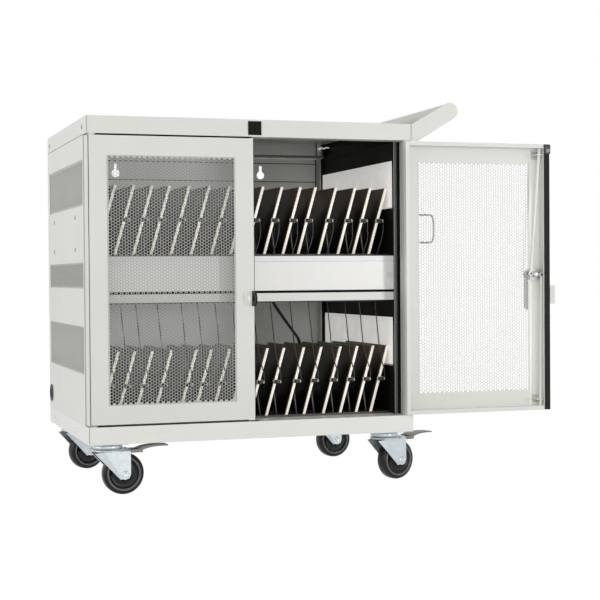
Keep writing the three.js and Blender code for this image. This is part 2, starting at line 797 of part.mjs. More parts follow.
for (const [tier, rackZ] of Object.entries(tiers)) {
  const middleZ = rackZ + rackBase + dividerHeight / 2;
  const barSpan = [leadY - leadBarDepth / 2, leadY + leadBarDepth / 2];
  const bodies = [block([-rackEdge, rackEdge], barSpan, leadBars[tier])];
  for (let i = 0; i < slotsPerTier; i += 1) {
    const x = plateMiddle(tier, i);
    const connectorX = [x + connectorShift - connectorWidth / 2, x + connectorShift + connectorWidth / 2];
    const connectorZ = [middleZ - connectorHeight / 2, middleZ + connectorHeight / 2];
    const route = leadRoute(tier, x, middleZ);
    bodies.push(block(connectorX, connectorY, connectorZ));
    bodies.push(wire(route, leadRadius, leadSides, tier === "upper" ? 6 : 9));
  }
  piece(tier + "_leads", join(bodies), "blackPlastic");
}

// Push handle: two cheek plates on the right end of the cover and a round bar between them
const gripX = right + handleReach;
const gripZ = coverTop + handleRise;
const cheekX = right + seam;
const lean = Math.atan2(gripZ - (coverBottom + coverTop) / 2, handleReach);
const cheek = new THREE.Shape();
cheek.moveTo(cheekX, coverTop);
cheek.lineTo(cheekX, coverBottom);
cheek.lineTo(cheekX + handleFoot, coverBottom);
cheek.absarc(gripX, gripZ, handleEndRadius, lean - Math.PI / 2, lean + Math.PI / 2);
for (const [name, cheekY, tabY] of [
  ["front", [front, front + handlePlate], [front + handlePlate / 2, front + handleTab]],
  ["rear", [back - handlePlate, back], [back - handleTab, back - handlePlate / 2]],
]) {
  const tabZ = [coverBottom + handleTabMargin, coverTop - handleTabMargin];
  const tab = block([cheekX, cheekX + handlePlate], tabY, tabZ);
  piece("handle_" + name + "_cheek", join([plateY(cheek, cheekY, 14), tab]), "paint");
}
const gripY = [front + handlePlate + seam, back - handlePlate - seam];
const gripTube = bar("y", gripY, [gripX, gripZ], handleBarRadius, 20);
const gripBore = bar("y", [front, back], [gripX, gripZ], handleBarRadius - handleBarWall, 20);
piece("handle_bar", cut(gripTube, [gripBore]), "paint");

// Blank badge plate on the middle of the cover's front
const badgeZ = (coverBottom + coverTop) / 2;
const badgeY = front - seam;
const badgeBody = block(
  [-badgeSize / 2, badgeSize / 2],
  [badgeY - badgeThickness, badgeY],
  [badgeZ - badgeSize / 2, badgeZ + badgeSize / 2],
);
piece("badge_plate", badgeBody, "blackPlastic");

// Cord hanger: a bent wire loop on a foot plate, on the outside of the right wall
const hangerX = right + seam;
const hangerY = front + hangerSetback;
const hangerEnd = hangerX + hangerReach - hangerWire;
const hangerHalf = hangerHeight / 2 - hangerWire;
const hangerLoop = [-1, 1].map((way) => [
  [hangerX + hangerPlate / 2, hangerY, hangerZ + way * hangerHalf],
  [hangerX + hangerReach / 2, hangerY, hangerZ + way * hangerHalf],
  [hangerEnd - hangerBend, hangerY, hangerZ + way * hangerHalf],
  [hangerEnd - hangerBend * 0.3, hangerY, hangerZ + way * (hangerHalf - hangerBend * 0.3)],
  [hangerEnd, hangerY, hangerZ + way * (hangerHalf - hangerBend)],
]);
const hangerRoute = [...hangerLoop[0], ...hangerLoop[1].reverse()];
const hangerFoot = block(
  [hangerX, hangerX + hangerPlate],
  [hangerY - 3 * hangerWire, hangerY + 3 * hangerWire],
  [hangerZ - hangerHeight / 2 - 3 * hangerWire, hangerZ + hangerHeight / 2 + 3 * hangerWire],
);
piece("cord_hanger", join([wire(hangerRoute, hangerWire, 8, 36), hangerFoot]), "zinc");

// Casters: a bolted plate with its bearing, a swivelling fork with its axle, and a wheel
const axleZ = (wheelDiameter / 2) * Math.cos(Math.PI / wheelSides);
const crownZ = wheelDiameter + crownLift;
const forkInner = wheelHubWidth / 2 + forkGap;
const forkTop = crownZ + crownThickness;
const plateBottom = casterHeight - seam - casterPlateThickness;
const pedalX = casterTrail + crownTail + pedalPin + pedalGap;
const pedalZ = forkTop - pedalPin;

// Everything that swivels is drawn about the swivel axis, trailing along +X
function forkBody() {
  const legs = [-1, 1].map((side) => {
    const shape = new THREE.Shape();
    shape.moveTo(-crownRadius, forkTop);
    shape.lineTo(-crownRadius, crownZ - crownThickness);
    shape.absarc(casterTrail, axleZ, forkEnd, (-3 * Math.PI) / 4, 0);
    shape.lineTo(casterTrail + forkEnd, crownZ - 2 * crownThickness);
    shape.lineTo(pedalX, crownZ - crownThickness);
    shape.lineTo(pedalX + pedalEar, crownZ);
    shape.lineTo(pedalX + pedalEar, forkTop);
    const span = side > 0 ? [forkInner, forkInner + forkSheet] : [-forkInner - forkSheet, -forkInner];
    return plateY(shape, span);
  });
  const crown = block(
    [-crownRadius, casterTrail + crownTail],
    [-forkInner - forkSheet, forkInner + forkSheet],
    [crownZ, forkTop],
  );
  const race = bar("z", [crownZ, forkTop], [0, 0], crownRadius, 24);
  const outer = forkInner + forkSheet;
  const axle = bar("y", [-outer - 1, outer + 1], [casterTrail, axleZ], axleRadius);
  const heads = [-1, 1].map((side) =>
    bar("y", [side * (outer - 1), side * (outer + 4)], [casterTrail, axleZ], axleHead, 6),
  );
  return join([crown, race, ...legs, axle, ...heads]);
}

function wheelBody() {
  const radius = wheelDiameter / 2;
  const half = wheelWidth / 2;
  const bore = axleRadius + pinClearance;
  const rimRadius = radius - treadDepth;
  const halfProfile = [
    [bore, wheelHubWidth / 2],
    [hubRadius, wheelHubWidth / 2],
    [hubRadius + rimStep, half - webSetback],
    [rimRadius - rimSlope, half - webSetback],
    [rimRadius, half - rimStep],
    [radius - treadRound, half],
    [radius - rimStep, half - treadRound],
    [radius, half - 2 * treadRound],
  ];
  const mirrored = halfProfile.map(([r, along]) => [r, -along]).reverse();
  const profile = [...halfProfile, ...mirrored].reverse();
  return turned(profile, wheelSides).rotate([0, 0, 90]).rotate([0, 180 / wheelSides, 0]);
}

// Brake pedal: a curved tread plate behind the wheel, on a cross pin between the fork's legs
function pedalBody() {
  const tip = pedalX + pedalLength;
  const shape = new THREE.Shape();
  shape.moveTo(pedalX - pedalPin, pedalZ - pedalPin);
  shape.lineTo(pedalX + pedalPin, pedalZ - pedalPin);
  shape.quadraticCurveTo(pedalX + pedalLength * 0.35, pedalZ + 8, tip, pedalZ + 6);
  shape.lineTo(tip, pedalZ + 6 + pedalThickness);
  shape.quadraticCurveTo(pedalX + pedalLength * 0.3, pedalZ + 13, pedalX - pedalPin, pedalZ + pedalPin);
  const tread = plateY(shape, [-pedalWidth / 2, pedalWidth / 2], 5);
  return join([tread, bar("y", [seam - forkInner, forkInner - seam], [pedalX, pedalZ], pedalPin, 10)]);
}

const casterX = right - casterInsetX;
const casterY = back - casterInsetY;
for (const [place, x, y] of [
  ["front_left", -casterX, -casterY],
  ["front_right", casterX, -casterY],
  ["rear_left", -casterX, casterY],
  ["rear_right", casterX, casterY],
]) {
  const plateBody = join([
    block(
      [x - casterPlateLength / 2, x + casterPlateLength / 2],
      [y - casterPlateWidth / 2, y + casterPlateWidth / 2],
      [plateBottom, plateBottom + casterPlateThickness],
    ),
    bar("z", [forkTop + seam, plateBottom + 1], [x, y], bearingRadius, 24),
  ]);
  piece("caster_plate_" + place, plateBody, "zinc");

  const swivel = new THREE.Group();
  swivel.position.set(x, y, 0);
  swivel.rotation.z = THREE.MathUtils.degToRad(casterTurn[place]);
  cart.add(swivel);
  piece("caster_fork_" + place, forkBody(), "zinc", swivel);
  const wheel = piece("caster_wheel_" + place, wheelBody(), "tread", swivel);
  wheel.position.set(casterTrail, 0, axleZ);
  if (place.startsWith("front")) {
    piece("brake_pedal_" + place, pedalBody(), "zinc", swivel);
  }
}

export default cart;
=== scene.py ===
import json
import math
import bmesh
import bpy
from mathutils import Matrix, Vector
from mathutils.geometry import interpolate_bezier


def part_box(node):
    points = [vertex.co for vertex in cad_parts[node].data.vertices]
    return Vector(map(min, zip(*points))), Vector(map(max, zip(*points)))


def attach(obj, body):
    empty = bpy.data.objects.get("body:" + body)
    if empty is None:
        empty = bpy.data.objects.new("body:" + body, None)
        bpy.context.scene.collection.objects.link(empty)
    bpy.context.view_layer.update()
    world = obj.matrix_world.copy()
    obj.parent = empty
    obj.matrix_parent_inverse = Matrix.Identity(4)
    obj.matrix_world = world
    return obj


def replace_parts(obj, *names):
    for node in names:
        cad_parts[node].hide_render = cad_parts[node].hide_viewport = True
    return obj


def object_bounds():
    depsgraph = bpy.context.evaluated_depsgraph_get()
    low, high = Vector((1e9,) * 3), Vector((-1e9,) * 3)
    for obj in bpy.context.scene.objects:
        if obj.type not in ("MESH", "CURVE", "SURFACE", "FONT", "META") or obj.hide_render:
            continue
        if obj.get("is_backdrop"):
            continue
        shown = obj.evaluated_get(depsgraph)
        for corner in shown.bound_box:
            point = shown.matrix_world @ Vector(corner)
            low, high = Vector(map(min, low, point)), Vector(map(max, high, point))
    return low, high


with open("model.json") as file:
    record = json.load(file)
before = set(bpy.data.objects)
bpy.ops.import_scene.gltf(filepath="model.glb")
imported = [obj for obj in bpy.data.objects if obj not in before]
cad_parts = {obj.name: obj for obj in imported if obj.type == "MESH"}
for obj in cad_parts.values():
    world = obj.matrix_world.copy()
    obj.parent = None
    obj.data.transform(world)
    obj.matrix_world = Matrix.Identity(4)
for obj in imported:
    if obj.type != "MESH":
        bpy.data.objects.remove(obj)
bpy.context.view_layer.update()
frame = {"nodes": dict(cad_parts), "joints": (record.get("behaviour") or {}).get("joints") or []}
nodes = frame["nodes"]
joints = {joint["name"]: joint for joint in frame["joints"]}
scene = bpy.context.scene
mm = 0.001

# Camera. The cart is seen from the front, a little from the left, from about half a metre
# above the floor. Place, turn and lens were fitted to the straight edges of the cabinet.
yaw = 0.31771
pitch = 0.01702
roll = -0.00743
focal_px = 1435.61
picture_px = 600
level_part = math.cos(pitch)
forward = Vector((math.sin(yaw) * level_part, math.cos(yaw) * level_part, -math.sin(pitch)))
level = Vector((math.cos(yaw), -math.sin(yaw), 0))
upright = level.cross(forward)
across = math.cos(roll) * level + math.sin(roll) * upright
above = math.cos(roll) * upright - math.sin(roll) * level
turn = Matrix((across, above, -forward)).transposed().to_4x4()
camera = bpy.data.objects.new("camera", bpy.data.cameras.new("camera"))
sensor_mm = 36
camera.data.sensor_width = sensor_mm
camera.data.lens = sensor_mm * focal_px / picture_px
camera.data.clip_end = 60
stand = (-0.9724, -3.5935, 0.5140)
camera.matrix_world = Matrix.Translation(stand) @ turn
scene.collection.objects.link(camera)
scene.camera = camera
scene.view_settings.view_transform = "Standard"


# Floor and light. A white studio floor that runs out of sight, a white world, three large soft lamps
# and a smaller one from the right. Three stand low, so that light gets inside the cabinet.
def linear(code):
    """An sRGB hex colour as linear red, green, blue and alpha."""
    parts = [int(code[i:i + 2], 16) / 255 for i in (1, 3, 5)]
    return [c / 12.92 if c <= 0.04045 else ((c + 0.055) / 1.055) ** 2.4 for c in parts] + [1.0]


def add(tree, kind, links=None, **settings):
    """Adds one node. Each entry of links gives an input its value or the socket it is joined to."""
    node = tree.nodes.new("ShaderNode" + kind)
    for name, value in settings.items():
        setattr(node, name, value)
    for name, value in (links or {}).items():
        if isinstance(value, bpy.types.NodeSocket):
            tree.links.new(value, node.inputs[name])
        else:
            node.inputs[name].default_value = value
    return node


def seen_directly(tree):
    """A socket that is 1 for rays from the camera, off mirrors and through glass, and else 0."""
    path = add(tree, "LightPath").outputs
    sharp = {0: path["Is Glossy Ray"], 1: path["Is Transmission Ray"]}
    mirrored = add(tree, "Math", sharp, operation="MAXIMUM").outputs[0]
    return add(tree, "Math", {0: path["Is Camera Ray"], 1: mirrored}, operation="MAXIMUM").outputs[0]


world = bpy.data.worlds.new("white studio")
world.use_nodes = True
tree = world.node_tree
tree.nodes.clear()
soft = add(tree, "Background", {"Color": linear("#FFFFFF"), "Strength": 0.38})
white = add(tree, "Background", {"Color": linear("#FFFFFF"), "Strength": 1.0})
mixed = add(tree, "MixShader", {0: seen_directly(tree), 1: soft.outputs[0], 2: white.outputs[0]})
add(tree, "OutputWorld", {"Surface": mixed.outputs[0]})
scene.world = world

floor_finish = bpy.data.materials.new("white studio floor")
floor_finish.use_nodes = True
tree = floor_finish.node_tree
tree.nodes.clear()
glow_share = 0.93
share = add(tree, "Math", {0: seen_directly(tree), 1: glow_share}, operation="MULTIPLY")
lit = add(tree, "BsdfDiffuse", {"Color": linear("#E6E6E6")})
glow = add(tree, "Emission", {"Color": linear("#FFFFFF"), "Strength": 1.06})
mixed = add(tree, "MixShader", {0: share.outputs[0], 1: lit.outputs[0], 2: glow.outputs[0]})
add(tree, "OutputMaterial", {"Surface": mixed.outputs[0]})
shape = bmesh.new()
floor_reach = 12
bmesh.ops.create_grid(shape, x_segments=4, y_segments=4, size=floor_reach)
mesh = bpy.data.meshes.new("floor")
shape.to_mesh(mesh)
shape.free()
mesh.materials.append(floor_finish)
floor = bpy.data.objects.new("floor", mesh)
scene.collection.objects.link(floor)
floor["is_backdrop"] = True

# name, place and size in metres, and power in watts
lamps = [
    ("front_lamp", (-0.4, -4.6, 0.6), 2.5, 44),
    ("side_lamp", (-4.5, -0.6, 0.9), 3.0, 92),
    ("high_left_lamp", (-3.2, -3.6, 2.0), 3.0, 18),
    ("right_spot", (2.5, -4.3, 0.6), 0.5, 56),
]
cabinet_middle = Vector((0, 0, 0.5))
for name, place, size, power in lamps:
    lamp = bpy.data.objects.new(name, bpy.data.lights.new(name, "AREA"))
    lamp.data.size = size
    lamp.data.energy = power
    aim = cabinet_middle - Vector(place)
    lamp.matrix_world = Matrix.Translation(place) @ aim.to_track_quat("-Z", "Y").to_matrix().to_4x4()
    scene.collection.objects.link(lamp)


# Base tray. A folded sheet-steel box that carries the walls, powder coated in light grey. Two
# zinc-plated bolts stand in each of its sides.
def new_finish(name):
    """A material with its node tree, its shader and the piece's own coordinates in metres."""
    material = bpy.data.materials.new(name)
    material.use_nodes = True
    tree = material.node_tree
    place = add(tree, "TexCoord").outputs["Object"]
    return material, tree, tree.nodes["Principled BSDF"], place


def blend(tree, share, *colours):
    """Mixes two colours, each a hex code or a socket, by a share. Gives the mixed colour's socket."""
    first, second = [linear(colour) if isinstance(colour, str) else colour for colour in colours]
    return add(tree, "Mix", {0: share, 6: first, 7: second}, data_type="RGBA").outputs[2]


def patches(tree, place, size, detail):
    """Soft random patches of a size in mm, from 0 to 1."""
    noise = add(tree, "TexNoise", {"Vector": place, "Scale": 1000 / size, "Detail": detail})
    return noise.outputs["Fac"]


def mottle(tree, shader, place, size, detail, *colours):
    """Gives a shader two colours that mix in patches of a size in mm, and returns the patches."""
    spread = patches(tree, place, size, detail)
    tree.links.new(blend(tree, spread, *colours), shader.inputs["Base Color"])
    return spread


def vary_gloss(tree, shader, spread, smooth, rough):
    """Lets the roughness of a shader follow patches, between two values."""
    gloss = add(tree, "MapRange", {"Value": spread, 3: smooth, 4: rough})
    tree.links.new(gloss.outputs[0], shader.inputs["Roughness"])


def powder_coat(name, colour, second_colour, roughness, shine=0.5):
    """Baked powder paint: an even colour with faint clouds and a fine orange-peel skin."""
    material, tree, shader, place = new_finish(name)
    # clouds of about 140 mm, and a peel of about 1.5 mm that is drawn at 4 mm so that it shows
    mottle(tree, shader, place, 140, 3.0, colour, second_colour)
    peel = patches(tree, place, 4, 1.0)
    vary_gloss(tree, shader, peel, roughness - 0.05, roughness + 0.05)
    bump = add(tree, "Bump", {"Height": peel, "Strength": 0.12, "Distance": 0.0002})
    tree.links.new(bump.outputs[0], shader.inputs["Normal"])
    shader.inputs["IOR"].default_value = 1.5
    shader.inputs["Specular IOR Level"].default_value = shine
    return material


def dress(names, finish, rounding):
    """Gives CAD nodes their finish, and their sheet edges the small radius of a bend, in mm."""
    for name in names:
        node = nodes[name]
        node.data.materials.clear()
        node.data.materials.append(finish)
        weld = node.modifiers.new("merged corners", "WELD")
        weld.merge_threshold = 0.01 * mm
        flat = node.modifiers.new("whole faces", "DECIMATE")
        flat.decimate_type = "DISSOLVE"
        flat.angle_limit = math.radians(1)
        bend = node.modifiers.new("edge radius", "BEVEL")
        bend.width = rounding * mm
        bend.segments = 2
        bend.limit_method = "ANGLE"
        bend.angle_limit = math.radians(40)
        bend.use_clamp_overlap = True
        shade = node.modifiers.new("even shading", "WEIGHTED_NORMAL")
        shade.weight = 90


def new_piece(name, shape, body, *finishes):
    """Makes a piece of a finished mesh, at the origin, and lets it ride on a body."""
    mesh = bpy.data.meshes.new(name)
    shape.to_mesh(mesh)
    shape.free()
    for finish in finishes:
        mesh.materials.append(finish)
    piece = bpy.data.objects.new(name, mesh)
    scene.collection.objects.link(piece)
    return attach(piece, body)


def turned(shape, profile, place, steps=32, finish=0, smooth=True):
    """Spins a profile of (radius, height) in mm round the z axis of the matrix place."""
    points = [shape.verts.new((r * mm, 0, h * mm)) for r, h in profile]
    edges = [shape.edges.new(pair) for pair in zip(points, points[1:])]
    bmesh.ops.spin(
        shape, geom=points + edges, cent=(0, 0, 0), axis=(0, 0, 1), angle=math.tau, steps=steps,
        use_merge=True, use_duplicate=False)
    # the new faces are all those that hang together with the profile
    faces = {face for edge in edges for face in edge.link_faces}
    waiting = list(faces)
    while waiting:
        for edge in waiting.pop().edges:
            for face in edge.link_faces:
                if face not in faces:
                    faces.add(face)
                    waiting.append(face)
    verts = list({vert for face in faces for vert in face.verts})
    bmesh.ops.remove_doubles(shape, verts=verts, dist=0.001 * mm)
    faces = [face for face in faces if face.is_valid]
    bmesh.ops.recalc_face_normals(shape, faces=faces)
    for face in faces:
        face.smooth = smooth
        face.material_index = finish
    verts = list({vert for face in faces for vert in face.verts})
    bmesh.ops.transform(shape, matrix=place, verts=verts)


def facing(place, direction):
    """A matrix at a place in mm whose z axis points along a direction."""
    quat = Vector(direction).to_track_quat("Z", "Y")
    return Matrix.Translation(Vector(place) * mm) @ quat.to_matrix().to_4x4()


light_grey = powder_coat("powder coat, light grey", "#E0E1DB", "#DADBD5", 0.40)
# the base takes a lighter copy of the light grey, painted light for the low light that reaches it
base_grey_painted_light = powder_coat("powder coat, light grey, painted lighter for the base", "#EAEBE5", "#E4E5DF", 0.40)
dress(["base_tray"], base_grey_painted_light, 1.2)

zinc, tree, shader, place = new_finish("zinc plate, bright")
# the passivated plating is cloudy in patches of about 14 mm, with a soft shine
flakes = mottle(tree, shader, place, 14, 1.0, "#BFC7CB", "#D6DCDF")
vary_gloss(tree, shader, flakes, 0.26, 0.34)
shader.inputs["Metallic"].default_value = 0.6

side_x = 405
bolt_z = 141
bolt_head = [(0, 1.6), (3.4, 1.6), (3.4, 2.2), (5.4, 2.2), (6.6, 1.2), (7, 0)]
shape = bmesh.new()
for side in (-1, 1):
    for y in (-110, 201):
        turned(shape, bolt_head, facing((side * side_x, y, bolt_z), (side, 0, 0)), 20)
new_piece("base_bolts", shape, "cabinet", zinc)


# Side walls. Each is a folded outer panel with three windows, a perforated sheet behind them and
# a black inner liner. Punched inner sheets stand on the liners, and rubber strips edge the walls,
# with a grey strip of painted shade beside each.
def perforated_sheet(width, height, place, border, pitch=7.4, hole=6.2):
    """A flat sheet across x and z of hexagon cells, punched out but for the border, in mm, that
    faces down the y axis. The real pitch of 6.35 is drawn at 7.4 so that the holes show."""
    shape = bmesh.new()
    column = pitch * math.sqrt(3) / 2
    pairs = math.ceil(width / column / 2) + 1
    rows = math.ceil(height / pitch) + 2
    lie = Matrix(((0, 1, 0, 0), (0, 0, 1, 0), (1, 0, 0, 0), (0, 0, 0, 1)))
    for x, z in ((0, 0), (column, pitch / 2)):
        corner = Matrix.Translation(((x - pairs * column) * mm, 0, (z - rows * pitch / 2) * mm))
        bmesh.ops.create_circle(
            shape, cap_ends=True, segments=6, radius=pitch / math.sqrt(3) * mm, matrix=corner @ lie)
    for step, count in (((0, 0, pitch * mm), rows), ((2 * column * mm, 0, 0), pairs)):
        bmesh.ops.spin(
            shape, geom=shape.verts[:] + shape.edges[:] + shape.faces[:], cent=(0, 0, 0), axis=(0, 0, 1),
            dvec=step, angle=0, steps=count, use_duplicate=True)
    bmesh.ops.remove_doubles(shape, verts=shape.verts, dist=0.05 * mm)
    reach_x = (width / 2 - border - hole / 2) * mm
    reach_z = (height / 2 - border - hole / 2) * mm
    punched = []
    for face in shape.faces:
        middle = face.calc_center_median()
        if abs(middle.x) < reach_x and abs(middle.z) < reach_z:
            punched.append(face)
    rim = (pitch - hole) / 2 * mm
    bmesh.ops.inset_individual(shape, faces=punched, thickness=rim, use_even_offset=True)
    bmesh.ops.delete(shape, geom=punched, context="FACES")
    for normal, reach in (((1, 0, 0), width / 2), ((0, 0, 1), height / 2)):
        for sign in (-1, 1):
            out = Vector(normal) * sign
            bmesh.ops.bisect_plane(
                shape, geom=shape.verts[:] + shape.edges[:] + shape.faces[:], dist=0.001 * mm,
                plane_co=out * reach * mm, plane_no=out, clear_outer=True)
    bmesh.ops.recalc_face_normals(shape, faces=shape.faces)
    shape.faces.ensure_lookup_table()
    if shape.faces[0].normal.y > 0:
        bmesh.ops.reverse_faces(shape, faces=shape.faces)
    bmesh.ops.transform(shape, matrix=place, verts=shape.verts)
    return shape


def joined(shapes):
    """One mesh of several."""
    whole = bmesh.new()
    for shape in shapes:
        mesh = bpy.data.meshes.new("passing")
        shape.to_mesh(mesh)
        shape.free()
        whole.from_mesh(mesh)
        bpy.data.meshes.remove(mesh)
    return whole


def thicken(piece, thickness):
    """Gives a flat sheet its thickness, half to each side, in mm, and its last finish behind."""
    solid = piece.modifiers.new("sheet thickness", "SOLIDIFY")
    solid.thickness = thickness * mm
    solid.offset = 0
    solid.material_offset = len(piece.data.materials) - 1
    solid.material_offset_rim = solid.material_offset
    return piece


def tube(shape, points, radius, finish=0, sides=8, steps=4):
    """Adds a smooth cord or wire through points in mm to a mesh."""
    knots = [Vector(point) for point in points]
    ends = [knots[0]] + knots + [knots[-1]]
    path = []
    for a, b, c, d in zip(ends, ends[1:], ends[2:], ends[3:]):
        path += interpolate_bezier(b, b + (c - a) / 6, c - (d - b) / 6, c, steps + 1)[:-1]
    path.append(knots[-1])
    cord = bmesh.new()
    way = path[1] - path[0]
    ring = bmesh.ops.create_circle(
        cord, cap_ends=True, segments=sides, radius=radius * mm, matrix=facing(path[0], way))
    end = ring["verts"][0].link_faces[0]
    for i in range(1, len(path)):
        grown = bmesh.ops.extrude_face_region(cord, geom=[end])["geom"]
        verts = [part for part in grown if isinstance(part, bmesh.types.BMVert)]
        end = [part for part in grown if isinstance(part, bmesh.types.BMFace)][0]
        bmesh.ops.translate(cord, vec=(path[i] - path[i - 1]) * mm, verts=verts)
        ahead = path[min(i + 1, len(path) - 1)] - path[i - 1]
        bend = way.rotation_difference(ahead).to_matrix()
        bmesh.ops.rotate(cord, cent=path[i] * mm, matrix=bend, verts=verts)
        way = ahead
    bmesh.ops.recalc_face_normals(cord, faces=cord.faces)
    for f in cord.faces:
        f.smooth = True
        f.material_index = finish
    mesh = bpy.data.meshes.new("passing")
    cord.to_mesh(mesh)
    cord.free()
    shape.from_mesh(mesh)
    bpy.data.meshes.remove(mesh)


def rounded_box(shape, low, high, radius, finish=0, segments=3):
    """Adds a box between two corners in mm, with rounded edges, to a mesh."""
    start = len(shape.faces)
    made = bmesh.ops.create_cube(shape, size=1)["verts"]
    size = Vector(high) - Vector(low)
    bmesh.ops.scale(shape, vec=size * mm, verts=made)
    bmesh.ops.translate(shape, vec=(Vector(low) + Vector(high)) / 2 * mm, verts=made)
    edges = list({edge for vert in made for edge in vert.link_edges})
    bmesh.ops.bevel(shape, geom=edges, offset=radius * mm, offset_type="OFFSET", affect="EDGES",
                    segments=segments, profile=0.5, material=-1)
    shape.faces.ensure_lookup_table()
    for f in shape.faces[start:]:
        f.material_index = finish
        f.smooth = True


def add_painted_glow(material, colour, strength):
    """Paints a glow into a finish: painted light, as if a thin sheet had daylight behind it."""
    shader = material.node_tree.nodes["Principled BSDF"]
    shader.inputs["Emission Color"].default_value = linear(colour)
    shader.inputs["Emission Strength"].default_value = strength


satin_black = powder_coat("powder coat, satin black", "#0B0B0A", "#100F0E", 0.5, 0.2)
dress(["left_side_panel", "right_side_panel"], light_grey, 1.0)
dress(["left_side_liner", "right_side_liner"], satin_black, 0.3)

# the windows as ranges in y and z, and how far a sheet laps over their edges
windows = [(-250, 270, 286, 398), (-250, 270, 487, 548), (-250, 270, 681, 789)]
lap = 5
# the outer face of the punched sheets is painted a darker grey, painted shade for the shade seen in and
# through the holes
side_mesh_painted_shade = powder_coat("powder coat, light grey, punched, painted shade", "#BEBFB9", "#B8B9B3", 0.45)
for side, x, quarter in (("left", -402.7, -90), ("right", 402.7, 90)):
    sheets = []
    for y0, y1, z0, z1 in windows:
        middle = Vector((x, (y0 + y1) / 2, (z0 + z1) / 2)) * mm
        place = Matrix.Translation(middle) @ Matrix.Rotation(math.radians(quarter), 4, "Z")
        sheets.append(perforated_sheet(y1 - y0 + 2 * lap, z1 - z0 + 2 * lap, place, lap + 0.5))
    piece = new_piece(side + "_side_perforation", joined(sheets), "cabinet", side_mesh_painted_shade, light_grey)
    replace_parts(thicken(piece, 1), side + "_side_mesh")

# the inner sheets stand against the liners, with holes of 2.2 mm at a pitch of 6.5 mm, and the right
# ones are given a painted glow, painted light standing in for daylight from the outer windows
inner_grey_painted_glow = powder_coat("powder coat, light grey, painted glow", "#E2E1DD", "#DAD9D5", 0.5)
add_painted_glow(inner_grey_painted_glow, "#CFCDC9", 0.68)
inner_ranges = [(-249, 277, 684, 799), (-249, 264, 290, 408)]
for side, x, finish in (("left", -371.5, light_grey), ("right", 371.5, inner_grey_painted_glow)):
    sheets = []
    for y0, y1, z0, z1 in inner_ranges:
        middle = Vector((x, (y0 + y1) / 2, (z0 + z1) / 2)) * mm
        place = Matrix.Translation(middle) @ Matrix.Rotation(math.radians(90), 4, "Z")
        sheets.append(perforated_sheet(y1 - y0, z1 - z0, place, 0, pitch=6.5, hole=2.2))
    piece = new_piece(side + "_inner_sheets", joined(sheets), "cabinet", finish)
    thicken(piece, 0.25)

black_rubber_and_painted_shade, tree, shader, place = new_finish("EPDM rubber, black strip and painted shade")
# extruded foam rubber, matt, dusty in patches of about 25 mm. The same black also makes strips of
# painted shade in gaps and along edges
mottle(tree, shader, place, 25, 3.0, "#0E0E0D", "#1A1A18")
shader.inputs["Roughness"].default_value = 0.75
shader.inputs["Specular IOR Level"].default_value = 0.1
# a dark grey for trim strips of painted shade on the wall fronts, and for thin seams at joints and folded
# corners
shade_and_seam_grey = powder_coat("powder coat, dark trim, painted shade and seams", "#747471", "#6C6C69", 0.5)
wall_front = -258.2
wall_z = (167, 845)
shape = bmesh.new()
for side in (-1, 1):
    rubber_x = side * 384.8
    trim_x = side * 376.6
    low = (rubber_x - 4.7, -260.4, wall_z[0])
    rounded_box(shape, low, (rubber_x + 4.7, wall_front, wall_z[1]), 0.8, 0, 2)
    # beside each rubber strip, a grey trim of painted shade on the wall's front edge
    low = (trim_x - 3.3, -258.7, wall_z[0])
    rounded_box(shape, low, (trim_x + 3.3, wall_front, wall_z[1]), 0.15, 1, 1)
new_piece("wall_edge_strips", shape, "cabinet", black_rubber_and_painted_shade, shade_and_seam_grey)

screw_grey = powder_coat("zinc screw, dulled", "#A6A8A8", "#9A9C9C", 0.5, 0.3)
screw_head = [(0, 0.6), (2.2, 0.6), (2.2, 1.6), (3.8, 1.6), (5.2, 0.8), (5.6, 0)]
shape = bmesh.new()
for side in (-1, 1):
    for y in (-141, 190):
        for z in (580, 657):
            turned(shape, screw_head, facing((side * side_x, y, z), (side, 0, 0)), 16)
new_piece("side_screws", shape, "cabinet", screw_grey)

# Back panel. A painted sheet with two keyholes for wall hooks and two rolled creases, between two
# posts that turn forward at its edges. The same paint lines the inside of the cover above it, and
# black strips of painted shade lie under the creases, beside the posts and under the cross sheet.
# the back and the lining take a lighter copy of the light grey, painted light for the shade inside the
# cabinet
back_grey_painted_light = powder_coat("powder coat, light grey, painted lighter inside", "#E6E6E2", "#DCDCD8", 0.42)
dress(["back_panel"], back_grey_painted_light, 0.5)
crease_x = 355
lining_x = 370.5
lining_front = -257
ceiling_z = 884
shape = bmesh.new()
# the creases, each with a black strip of painted shade under it
for z in (783.5, 835):
    rounded_box(shape, (-crease_x, 296.6, z - 2.2), (crease_x, 298.3, z + 2.2), 0.8, 0, 2)
    rounded_box(shape, (-crease_x, 297.0, z - 4.2), (crease_x, 298.2, z - 2.4), 0.2, 1, 1)
# the back and the ceiling of the cover
rounded_box(shape, (-lining_x, 297.2, 848), (lining_x, 298.2, 885), 0.2, 0, 1)
rounded_box(shape, (-lining_x, lining_front, 884.2), (lining_x, 297, 885.2), 0.2, 0, 1)
# at each end a post, the black side of the cover, and black strips of painted shade beside the post and on
# the cross sheet
for side in (-1, 1):
    post = side * 362.4
    wall = side * 371.2
    line = side * 357
    seam = side * 332.5
    rounded_box(shape, (post - 0.8, 271, 848), (post + 0.8, 297, ceiling_z), 0.2, 0, 1)
    rounded_box(shape, (wall - 0.3, lining_front, 844.2), (wall + 0.3, 269.5, ceiling_z), 0.1, 1, 1)
    rounded_box(shape, (line - 1.5, 296.4, 500), (line + 1.5, 297.6, 845), 0.2, 1, 1)
    rounded_box(shape, (seam - 1.5, 219.2, 847.2), (seam + 1.5, 220, 883.5), 0.2, 1, 1)
